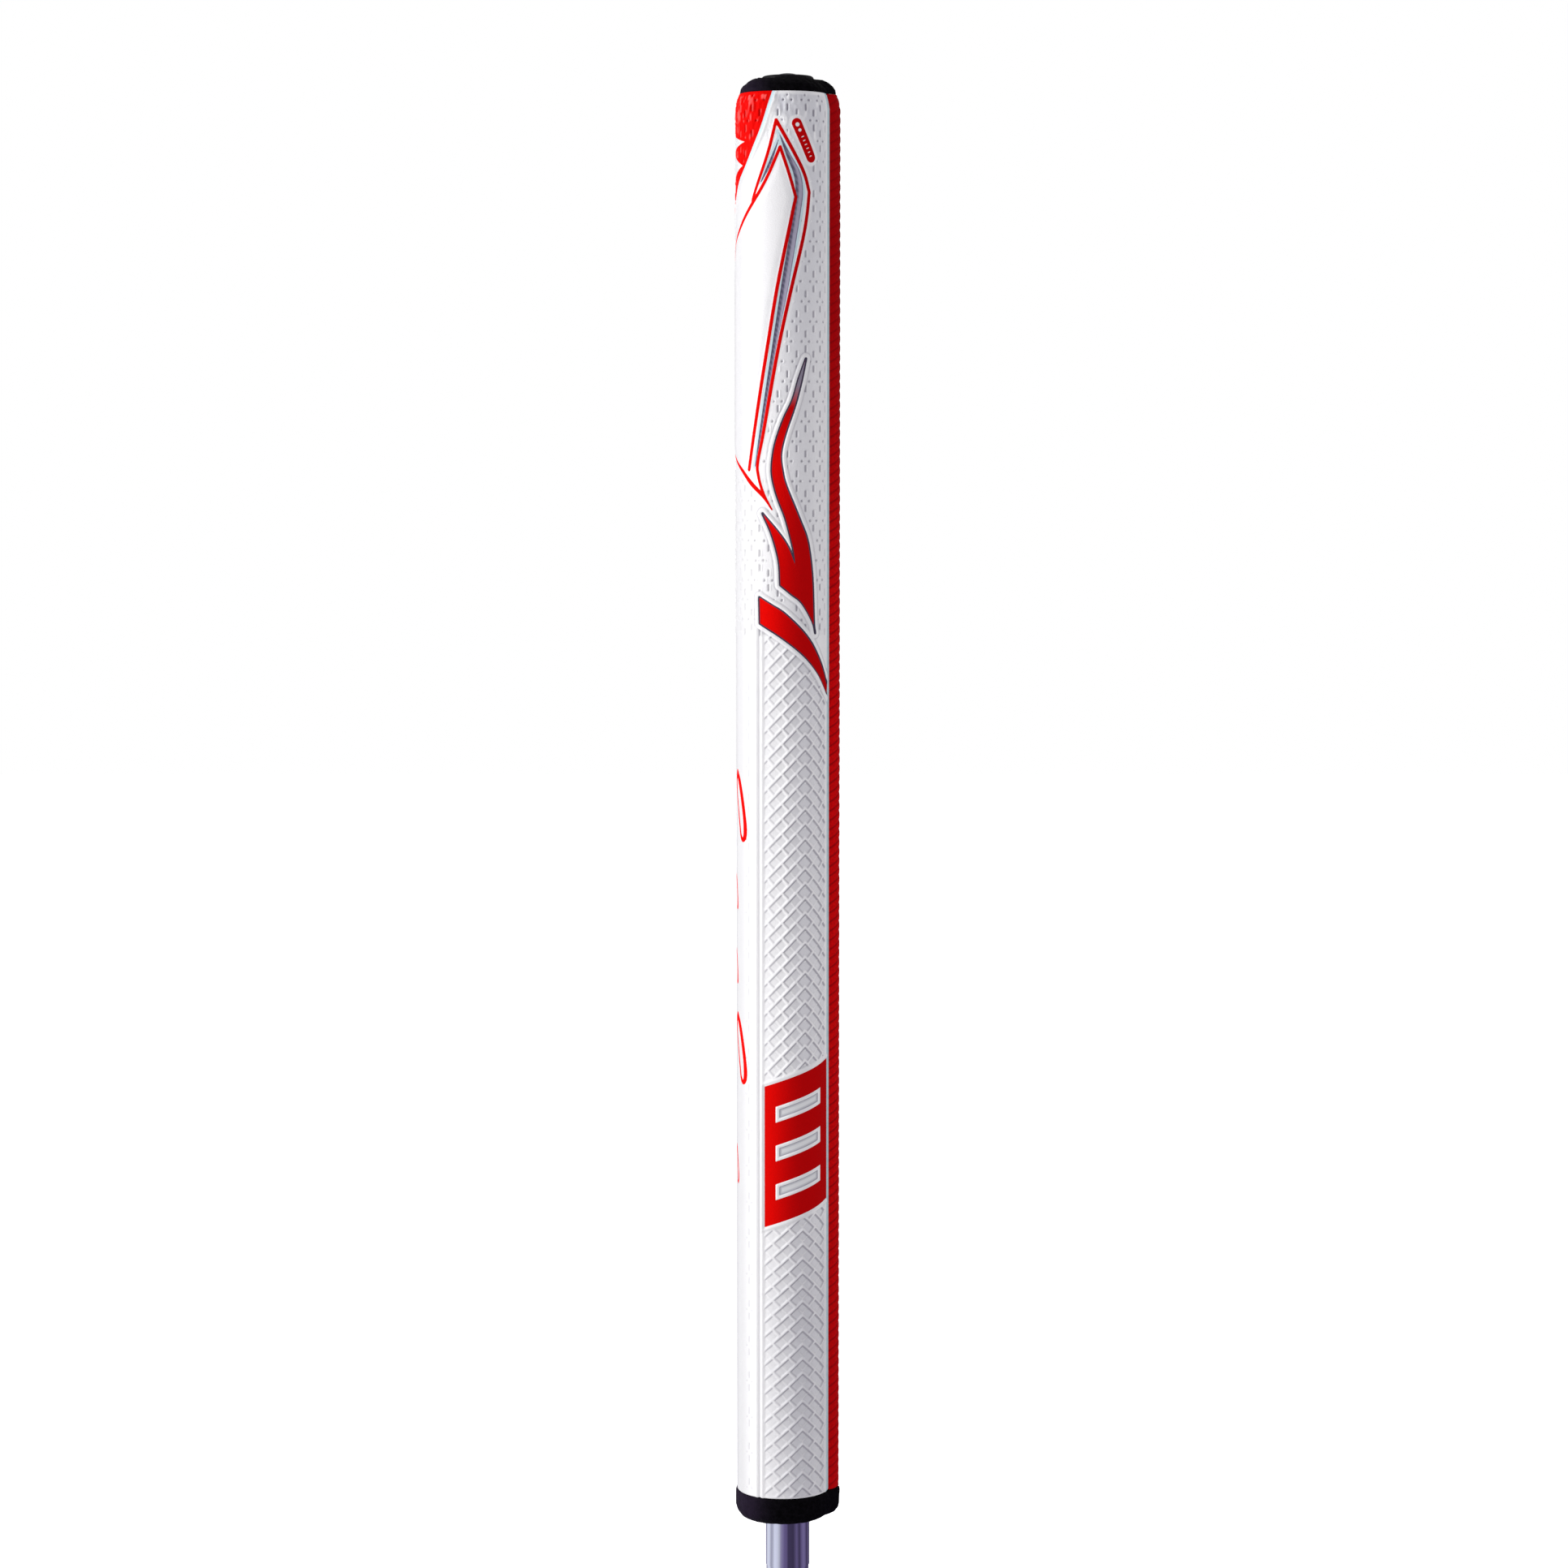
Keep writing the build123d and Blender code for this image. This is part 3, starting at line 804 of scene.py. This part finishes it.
class Nodes:
    """A node tree that is put together a call at a time."""

    def __init__(self, tree):
        self.tree = tree

    def put(self, kind, values, **settings):
        node = self.tree.nodes.new(kind)
        for key, value in settings.items():
            setattr(node, key, value)
        for key, value in values.items():
            self.feed(node.inputs[key], value)
        return node

    def feed(self, socket, value):
        if isinstance(value, bpy.types.NodeSocket):
            self.tree.links.new(value, socket)
        elif isinstance(value, tuple) and len(value) == 3 and socket.type == "RGBA":
            socket.default_value = (*value, 1)
        else:
            socket.default_value = value

    def math(self, operation, a, b=0.0):
        return self.put("ShaderNodeMath", {0: a, 1: b}, operation=operation).outputs[0]

    def times(self, a, b):
        return self.math("MULTIPLY", a, b)

    def plus(self, a, b):
        return self.math("ADD", a, b)

    def step(self, value, start, end, low=0.0, high=1.0, kind="SMOOTHSTEP"):
        places = {0: value, 1: start, 2: end, 3: low, 4: high}
        return self.put("ShaderNodeMapRange", places, interpolation_type=kind).outputs[0]

    def mix(self, factor, a, b):
        return self.put("ShaderNodeMix", {0: factor, 6: a, 7: b}, data_type="RGBA").outputs[2]

    def blend(self, factor, a, b):
        return self.put("ShaderNodeMix", {0: factor, 2: a, 3: b}).outputs[0]

    def noise(self, scale, detail=3.0, stretch=(1, 1, 1)):
        places = {"Vector": self.object_place(stretch), "Scale": scale, "Detail": detail}
        return self.put("ShaderNodeTexNoise", places).outputs[0]

    def cells(self, scale, stretch=(1, 1, 1)):
        places = {"Vector": self.object_place(stretch), "Scale": scale}
        return self.put("ShaderNodeTexVoronoi", places).outputs["Distance"]

    def object_place(self, stretch=(1, 1, 1)):
        here = self.put("ShaderNodeTexCoord", {}).outputs["Object"]
        return self.put("ShaderNodeMapping", {"Vector": here, "Scale": stretch}).outputs[0]

    def split(self, vector):
        return self.put("ShaderNodeSeparateXYZ", {0: vector}).outputs

    def value(self, name):
        return self.put("ShaderNodeAttribute", {}, attribute_name=name).outputs["Fac"]


class Look(Nodes):
    """A material and the nodes that feed its shader."""

    def __init__(self, name):
        self.material = bpy.data.materials.new(name)
        self.material.use_nodes = True
        super().__init__(self.material.node_tree)
        self.shader = self.tree.nodes["Principled BSDF"]

    def bump(self, height, distance, strength=1.0):
        node = self.put("ShaderNodeBump", {"Height": height, "Distance": distance, "Strength": strength})
        self.feed(self.shader.inputs["Normal"], node.outputs[0])

    def finish(self, **inputs):
        for key, value in inputs.items():
            self.feed(self.shader.inputs[key.replace("_", " ")], value)
        return self.material


WHITE = (0.855, 0.855, 0.857)
CLOUDED = (0.79, 0.795, 0.805)
# painted highlight
HIGHLIGHT = (1.0, 1.0, 1.0)
# painted shade in the weave's pockets
POCKET_SHADE = (0.77, 0.77, 0.79)
# painted shade over the crossed skin
PRICKED_SHADE = (0.61, 0.62, 0.66)
# painted shade in sunk crosses and lines
HOLE_SHADE = (0.32, 0.31, 0.36)
# painted shade in the creases' hollows
CREASE_SHADE = (0.50, 0.50, 0.56)
SHADE = (0.50, 0.50, 0.54)
# painted shade at the front
FRONT_SHADE = (0.645, 0.645, 0.65)
# painted shade where the skin is seen edge-on
EDGE_ON_SHADE = (0.57, 0.57, 0.58)
ICE = (0.48, 0.66, 0.72)
RED = (0.74, 0.002, 0.001)
# mottle of the red, and painted shade towards the back
RED_MOTTLE_AND_SHADE = (0.46, 0.001, 0.002)
# painted shade in the red's sunk crosses
RED_HOLE_SHADE = (0.305, 0.001, 0.001)
RED_GLINT = (1.0, 0.15, 0.14)
TIP = (0.25, 0.23, 0.295)
RIM = (0.042, 0.035, 0.069)
SLATE = (0.08, 0.072, 0.125)
SLATE_PALE = (0.20, 0.18, 0.27)
SLATE_SHEEN = (0.42, 0.40, 0.51)
SILVER = (0.55, 0.56, 0.59)
SILVER_DEEP = (0.30, 0.29, 0.35)
SILVER_FRAME = (0.71, 0.72, 0.735)
ROPE = (0.63, 0.002, 0.003)
ROPE_DEEP = (0.485, 0.001, 0.003)
# painted shade at the spine's ends
ROPE_END_SHADE = (0.30, 0.001, 0.003)
# painted shade between the spine's ribs
ROPE_GROOVE_SHADE = (0.27, 0.001, 0.003)
RUBBER = (0.0012, 0.0009, 0.0015)
RUBBER_PALE = (0.0032, 0.0025, 0.004)
# painted sheen on the rubber towards the front
RUBBER_SHEEN = (0.016, 0.010, 0.023)


def white_color(look, where, hole_shade, crest, ice):
    """The white skin, with painted shade along its side and foot, at its front, in its pockets, creases and
    sunk crosses, and where it turns away, and painted highlight on lips and crests.
    """
    crease = look.value("crease")
    # painted shade in the weave's pockets
    color = look.mix(look.step(look.value("pocket"), 0.1, 0.9), WHITE, POCKET_SHADE)
    color = look.mix(look.step(look.noise(160, 4), 0.35, 0.75, 0.0, 0.25), color, CLOUDED)
    # painted shade over the crossed skin
    color = look.mix(look.times(look.value("pricked_shade"), 0.75), color, PRICKED_SHADE)
    # painted highlight on lips, crease crests and the weave's crests
    color = look.mix(look.math("MAXIMUM", crest, look.value("lit")), color, HIGHLIGHT)
    # painted shade in the creases' hollows
    color = look.mix(look.step(crease, -0.3, -1.2, 0.0, 0.45), color, CREASE_SHADE)
    side = look.times(look.step(where["Y"], -0.001, 0.0035), look.step(where["Y"], 0.0095, 0.0055, 0, 0.30))
    foot = look.times(look.step(where["Y"], -0.010, 0.0), look.step(where["Z"], 0.115, 0.06, 0.0, 0.34))
    color = look.mix(look.plus(side, foot), color, SHADE)
    # painted shade at the front
    color = look.mix(look.step(where["Y"], -0.0105, -0.0145), color, FRONT_SHADE)
    # painted shade where the skin is seen edge-on
    edge_on = look.put("ShaderNodeLayerWeight", {"Blend": 0.5}).outputs["Facing"]
    color = look.mix(look.step(edge_on, 0.70, 0.96), color, EDGE_ON_SHADE)
    color = look.mix(look.step(ice, 0.1, -0.1, 0, 0.8), color, ICE)
    # painted shade in sunk crosses and lines and along the weave's borders
    return look.mix(hole_shade, color, HOLE_SHADE)


def slate_color(look, dark, sheen):
    """The slate stripe, finely hatched and paler along one side."""
    hatch = look.put("ShaderNodeTexWave", {"Vector": look.object_place(), "Scale": 330.0, "Distortion": 2.0},
                     bands_direction="DIAGONAL").outputs["Fac"]
    slate = look.mix(look.step(hatch, 0.2, 0.9, 0.2, 0.8), SLATE, SLATE_PALE)
    slate = look.mix(look.step(sheen, 0.3, -0.4, 0.0, 0.8), slate, SLATE_SHEEN)
    return look.mix(look.step(dark, -0.4, -0.1, 0.0, 0.6), slate, SLATE)


def red_color(look, where, hole_shade, crest, upper):
    """The red print, with a speckled mottle and painted shade towards the back, painted shade in its sunk
    crosses, painted glints, and the upper slash's tip faded to grey.
    """
    # painted shade towards the back
    turn = look.step(where["Y"], -0.008, 0.005)
    speckle = look.step(look.noise(900, 3), 0.4, 0.75, 0.0, 0.18)
    red = look.mix(look.math("MAXIMUM", turn, speckle), RED, RED_MOTTLE_AND_SHADE)
    # painted shade in the sunk crosses
    red = look.mix(hole_shade, red, RED_HOLE_SHADE)
    # painted glints on lips and crease crests
    red = look.mix(crest, red, RED_GLINT)
    tip = look.times(look.step(where["Z"], 0.3435, 0.3515), look.step(upper, 0.05, -0.05))
    return look.mix(tip, red, TIP)


def silver_color(look, slots):
    """The slots' silver, darker along their inside, in a white frame."""
    silver = look.mix(look.step(slots, -0.45, -0.1, 0.0, 0.9), SILVER, SILVER_DEEP)
    return look.mix(look.step(slots, -0.95, -0.55), SILVER_FRAME, silver)


def skin_look():
    """The white skin with its print, which the mesh carries as distances from each shape's edge."""
    look = Look("white_pu_print")
    wobble = look.times(look.math("SUBTRACT", look.noise(2600), 0.5), 0.10)
    printed = ("red", "dark", "sheen", "rim", "ice", "silver", "upper")
    field = {name: look.plus(look.value(name), wobble) for name in printed}
    where = look.split(look.object_place())
    # painted shade in sunk crosses and lines
    hole_shade = look.step(look.value("hole_shade"), 0.05, 1.0, kind="LINEAR")
    # painted highlight on the crosses' lips
    lip = look.times(look.step(look.value("lip"), 0.0, 1.0, kind="LINEAR"), 0.55)
    # painted highlight on the lips and the creases' crests
    crest = look.math("MAXIMUM", lip, look.step(look.value("crease"), 0.35, 1.4, 0.0, 0.7))

    color = white_color(look, where, hole_shade, crest, field["ice"])
    slate = slate_color(look, field["dark"], field["sheen"])
    color = look.mix(look.step(field["dark"], 0.08, -0.08), color, slate)
    color = look.mix(look.step(field["rim"], 0.08, -0.08), color, RIM)
    red = red_color(look, where, hole_shade, crest, field["upper"])
    color = look.mix(look.step(field["red"], 0.06, -0.06), color, red)
    silver = silver_color(look, field["silver"])
    color = look.mix(look.step(field["silver"], 0.06, -0.06), color, silver)

    grain = look.plus(look.cells(2600), look.times(look.noise(5200, 2), 0.5))
    look.bump(grain, 0.00006, 0.6)
    rough = look.step(look.noise(900, 3), 0.3, 0.7, 0.46, 0.60)
    shine = look.step(field["red"], 0.06, -0.06, 0.25, 0.012)
    return look.finish(Base_Color=color, Roughness=rough, Specular_IOR_Level=shine)


def rope_look():
    """Red skin of the spine, with painted shade in the grooves and towards both ends."""
    look = Look("red_pu_rope")
    speck = look.noise(1500, 4)
    color = look.mix(look.step(speck, 0.35, 0.7), ROPE, ROPE_DEEP)
    height = look.split(look.object_place())["Z"]
    # painted shade towards both ends
    top = look.step(height, 0.27, 0.40, 0.0, 0.75)
    foot = look.step(height, 0.13, 0.03, 0.0, 0.3)
    color = look.mix(look.plus(top, foot), color, ROPE_END_SHADE)
    # painted shade in the grooves
    color = look.mix(look.step(look.value("groove_shade"), 0.35, 1.0, 0.0, 0.85), color, ROPE_GROOVE_SHADE)
    look.bump(look.plus(look.cells(2400), look.noise(4200, 3)), 0.00008, 0.7)
    rough = look.step(speck, 0.3, 0.7, 0.5, 0.66)
    return look.finish(Base_Color=color, Roughness=rough, Specular_IOR_Level=0.015)


def rubber_look():
    """Black rubber with a fine grain, and a painted violet sheen towards the front."""
    look = Look("black_rubber_grain")
    where = look.split(look.object_place())
    black = look.mix(look.step(look.noise(900, 4), 0.35, 0.68), RUBBER, RUBBER_PALE)
    # painted sheen towards the front, broken up by a noise cloud
    cloud = look.step(look.noise(420, 4), 0.2, 0.7, 0.6, 1.0)
    painted_sheen = look.times(look.step(where["Y"], -0.003, -0.0145), cloud)
    color = look.mix(painted_sheen, black, RUBBER_SHEEN)
    look.bump(look.plus(look.noise(2700), look.cells(1800)), 0.00007)
    rough = look.step(look.noise(2000), 0.3, 0.7, 0.62, 0.80)
    return look.finish(Base_Color=color, Roughness=rough, Specular_IOR_Level=0.04)


def plain_look(name, light, dark, scale, rough, relief, metal=0.0, stretch=(1, 1, 1), shine=0.5):
    """A material with two mixed shades, uneven gloss and a fine grain."""
    look = Look(name)
    color = look.mix(look.step(look.noise(scale, 4, stretch), 0.35, 0.68), light, dark)
    gloss = look.step(look.noise(scale * 2.3, 3, stretch), 0.3, 0.7, rough[0], rough[1])
    look.bump(look.plus(look.noise(scale * 3, 3, stretch), look.cells(scale * 2, stretch)), relief)
    return look.finish(Base_Color=color, Roughness=gloss, Metallic=metal, Specular_IOR_Level=shine)


def wear(nodes, name, light, dark, scale, **finish):
    """Gives CAD nodes a plain look as their only material."""
    material = plain_look(name, light, dark, scale, **finish)
    for node in nodes:
        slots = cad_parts[node].data.materials
        slots.clear()
        slots.append(material)


def dress_steel():
    wear(("shaft_butt", "weight_stud"), "shaft_chrome", (0.78, 0.76, 0.90), (0.70, 0.68, 0.84), 300,
         rough=(0.07, 0.12), relief=0.000002, metal=1.0, stretch=(1, 1, 0.04))
    wear(("counterweight",), "turned_steel", (0.52, 0.52, 0.54), (0.42, 0.42, 0.44), 500,
         rough=(0.2, 0.34), relief=0.00001, metal=1.0, stretch=(0.05, 0.05, 4))


def dress_layers():
    """The soft layers between the shaft and the skins."""
    wear(("foam_core",), "eva_foam_cells", (0.26, 0.26, 0.27), (0.17, 0.17, 0.18), 700,
         rough=(0.8, 0.95), relief=0.0001)
    wear(("skin_backing", "spine_backing"), "felt_fibre", (0.80, 0.79, 0.76), (0.66, 0.65, 0.62), 1200,
         rough=(0.85, 0.98), relief=0.0001, stretch=(1, 1, 0.3))
    wear(("grip_tape",), "paper_tape", (0.86, 0.83, 0.72), (0.76, 0.73, 0.62), 800,
         rough=(0.7, 0.9), relief=0.00005)


def dress_port():
    """The weight port's sleeve, plug, badge and seals."""
    wear(("port_sleeve",), "black_nylon", (0.02, 0.02, 0.023), (0.035, 0.035, 0.04), 900,
         rough=(0.35, 0.5), relief=0.00002, shine=0.2)
    wear(("port_plug",), "plug_satin", (0.004, 0.0035, 0.005), (0.009, 0.008, 0.011), 1100,
         rough=(0.34, 0.48), relief=0.00003, shine=0.1)
    wear(("plug_badge",), "badge_gloss", (0.005, 0.0045, 0.006), (0.010, 0.009, 0.012), 800,
         rough=(0.16, 0.26), relief=0.000006, shine=0.25)
    wear(("o_ring", "damper_rings"), "nitrile_seal", (0.016, 0.016, 0.016), (0.03, 0.03, 0.03), 1500,
         rough=(0.4, 0.6), relief=0.00003)


def stand_in(piece, node, material):
    """A piece takes the place of a CAD node on the grip's body."""
    piece.data.materials.append(material)
    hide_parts(node)
    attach(piece, "grip_body")


def place_pieces():
    rubber = rubber_look()
    piping = plain_look("trim_piping", (0.51, 0.65, 0.685), (0.44, 0.58, 0.62), 500, rough=(0.35, 0.5),
                        relief=0.00003)
    stand_in(skin(), "white_skin", skin_look())
    stand_in(spine(), "spine_skin", rope_look())
    stand_in(cap(), "butt_cap", rubber)
    stand_in(collar(), "mouth_collar", rubber)
    stand_in(trim("trim_bead_left", -1), "seam_trim_left", piping)
    stand_in(trim("trim_bead_right", 1), "seam_trim_right", piping)


# ---- studio

CAMERA = Vector((1.150, -0.0011, 0.3318))
AIM = Vector((0.0, -0.0011, 0.22884))
LENS = 86.249
AMBIENT = 0.605
WORLD_TINT = (0.98, 0.955, 1.0)
FLOOR_HALF = 3.0
# Place, watts and width of each lamp
LAMPS = {"key": ((0.27, -1.27, 0.60), 16.2, 0.7), "fill": ((1.2, 0.9, 0.4), 2.5, 0.5)}
# Painted reflection bands that polished steel sees in the floor, from straight in front (-1) round to
# straight behind (1)
FLOOR_BANDS = ((-1.0, 0.50), (-0.95, 0.88), (-0.80, 0.80), (-0.57, 0.40), (-0.20, 0.22), (0.10, 0.10),
               (0.50, 0.08), (0.75, 0.22), (0.90, 0.08), (1.0, 0.28))


def floor_bands(look):
    """Brightness of the floor's painted reflection bands, by its direction from the shaft."""
    here = look.split(look.put("ShaderNodeNewGeometry", {}).outputs["Position"])
    reach = look.math("SQRT", look.plus(look.times(here["X"], here["X"]), look.times(here["Y"], here["Y"])))
    side = look.math("DIVIDE", here["Y"], look.math("MAXIMUM", reach, 0.001))
    bands = look.put("ShaderNodeValToRGB", {"Fac": look.step(side, -1.0, 1.0, kind="LINEAR")})
    stops = bands.color_ramp.elements
    while len(stops) < len(FLOOR_BANDS):
        stops.new(0.5)
    for stop, (place, level) in zip(stops, FLOOR_BANDS):
        stop.position = (place + 1) / 2
        stop.color = (level, level, level, 1)
    return bands.outputs[0]


def floor_look():
    """White to the camera, pale to soft light, and glowing in painted reflection bands for the polished
    shaft.
    """
    look = Look("pale_floor")
    rays = look.put("ShaderNodeLightPath", {}).outputs
    seen, glossy = rays["Is Camera Ray"], rays["Is Glossy Ray"]
    bands = floor_bands(look)
    # the floor glows in painted reflection bands, seen only by glossy rays
    glow = look.plus(look.times(seen, 0.9), look.times(bands, glossy))
    # violet tint of the painted reflection
    reflection_tint = look.mix(look.step(bands, 0.2, 0.6), (0.62, 0.50, 1.0), (0.94, 1.0, 1.05))
    color = look.mix(look.noise(30), (0.80, 0.80, 0.80), (0.77, 0.77, 0.77))
    color = look.mix(glossy, color, (0.0, 0.0, 0.0))
    return look.finish(Base_Color=color, Roughness=0.9, Specular_IOR_Level=0.0, Emission_Strength=glow,
                       Emission_Color=look.mix(glossy, (1.0, 1.0, 1.0), reflection_tint))


def aim(obj, place):
    """Puts a lamp or the camera in its place, turned to the aim point."""
    obj.location = place
    obj.rotation_mode = "QUATERNION"
    obj.rotation_quaternion = (AIM - Vector(place)).to_track_quat("-Z", "Y")


def add_floor():
    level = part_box("shaft_butt")[0].z
    mesh = bpy.data.meshes.new("floor")
    turns = ((-1, -1), (1, -1), (1, 1), (-1, 1))
    mesh.from_pydata([(FLOOR_HALF * x, FLOOR_HALF * y, level) for x, y in turns], [], [(0, 1, 2, 3)])
    mesh.materials.append(floor_look())
    link("floor", mesh)


def add_world():
    """White behind the grip, soft light round it, and dimmer in the shaft's reflections."""
    world = bpy.data.worlds.new("studio")
    bpy.context.scene.world = world
    world.use_nodes = True
    nodes = Nodes(world.node_tree)
    rays = nodes.put("ShaderNodeLightPath", {}).outputs
    seen, glossy = rays["Is Camera Ray"], rays["Is Glossy Ray"]
    toward = nodes.split(nodes.put("ShaderNodeTexCoord", {}).outputs["Generated"])["X"]
    dim = nodes.step(toward, 0.1, 0.9, 0.40, 0.06, kind="LINEAR")
    background = world.node_tree.nodes["Background"]
    nodes.feed(background.inputs["Color"], nodes.mix(seen, WORLD_TINT, (1.0, 1.0, 1.0)))
    nodes.feed(background.inputs["Strength"], nodes.blend(seen, nodes.blend(glossy, AMBIENT, dim), 1.0))


def add_lamps():
    for name, (place, power, width) in LAMPS.items():
        data = bpy.data.lights.new(name, "AREA")
        data.energy = power
        data.size = width
        aim(link(name, data), place)


def add_camera():
    data = bpy.data.cameras.new("camera")
    data.lens = LENS
    data.sensor_width = 36.0
    data.clip_start = 0.05
    data.clip_end = 20.0
    camera = link("camera", data)
    aim(camera, CAMERA)
    bpy.context.scene.camera = camera


dress_steel()
dress_layers()
dress_port()
place_pieces()
add_floor()
add_world()
add_lamps()
add_camera()
bpy.context.scene.view_settings.view_transform = "Standard"
